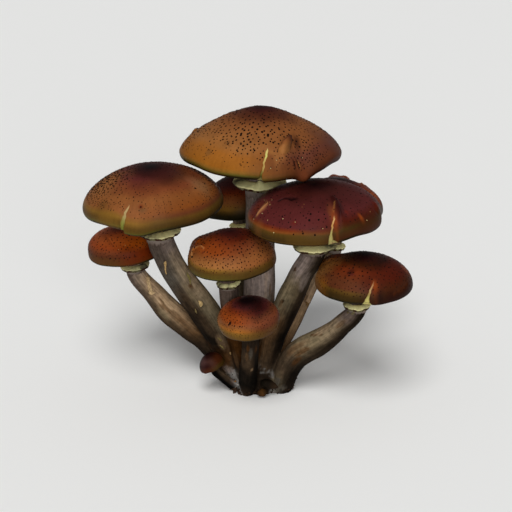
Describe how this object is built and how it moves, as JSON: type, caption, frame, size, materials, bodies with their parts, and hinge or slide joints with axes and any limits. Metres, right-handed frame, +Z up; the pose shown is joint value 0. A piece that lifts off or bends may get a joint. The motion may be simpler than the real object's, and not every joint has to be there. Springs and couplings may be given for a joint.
{
  "type": "honey fungus tuft",
  "caption": "Tuft of gilled mushrooms with domed, dark-scaled caps on curved ringed stems, grown from one fused foot that is cut off flat.",
  "frame": {"origin": "middle of the flat cut under the foot, on the surface that the tuft stands on", "axes": "+Z up, -Y towards the viewer of the picture, +X to the viewer's right"},
  "size_m": [0.1607, 0.1211, 0.1427],
  "materials": {
    "cap": "moist smooth skin, orange-brown to maroon with small dark scales",
    "ring": "soft cream to yellow-green veil with a ragged edge",
    "stem": "dry fibrous grey-brown flesh with pale flakes",
    "foot": "dark earthy fused base with pale mould and crumbs of soil",
    "bud": "dull brown skin of unopened buds"
  },
  "bodies": {
    "root": {"foot": "foot", "bud_dark": "bud", "bud_pale": "bud", "cap_crown": "cap", "cap_left": "cap", "cap_red": "cap", "cap_right": "cap", "cap_middle": "cap", "cap_front": "cap", "cap_low": "cap", "cap_rear_left": "cap", "cap_rear_right": "cap", "cap_tiny": "cap", "ring_crown": "ring", "ring_left": "ring", "ring_red": "ring", "ring_right": "ring", "ring_middle": "ring", "ring_low": "ring", "ring_rear_left": "ring", "ring_rear_right": "ring", "stem_crown": "stem", "stem_left": "stem", "stem_red": "stem", "stem_right": "stem", "stem_middle": "stem", "stem_front": "stem", "stem_low": "stem", "stem_rear_left": "stem", "stem_rear_right": "stem", "stem_tiny": "stem"}
  },
  "joints": []
}
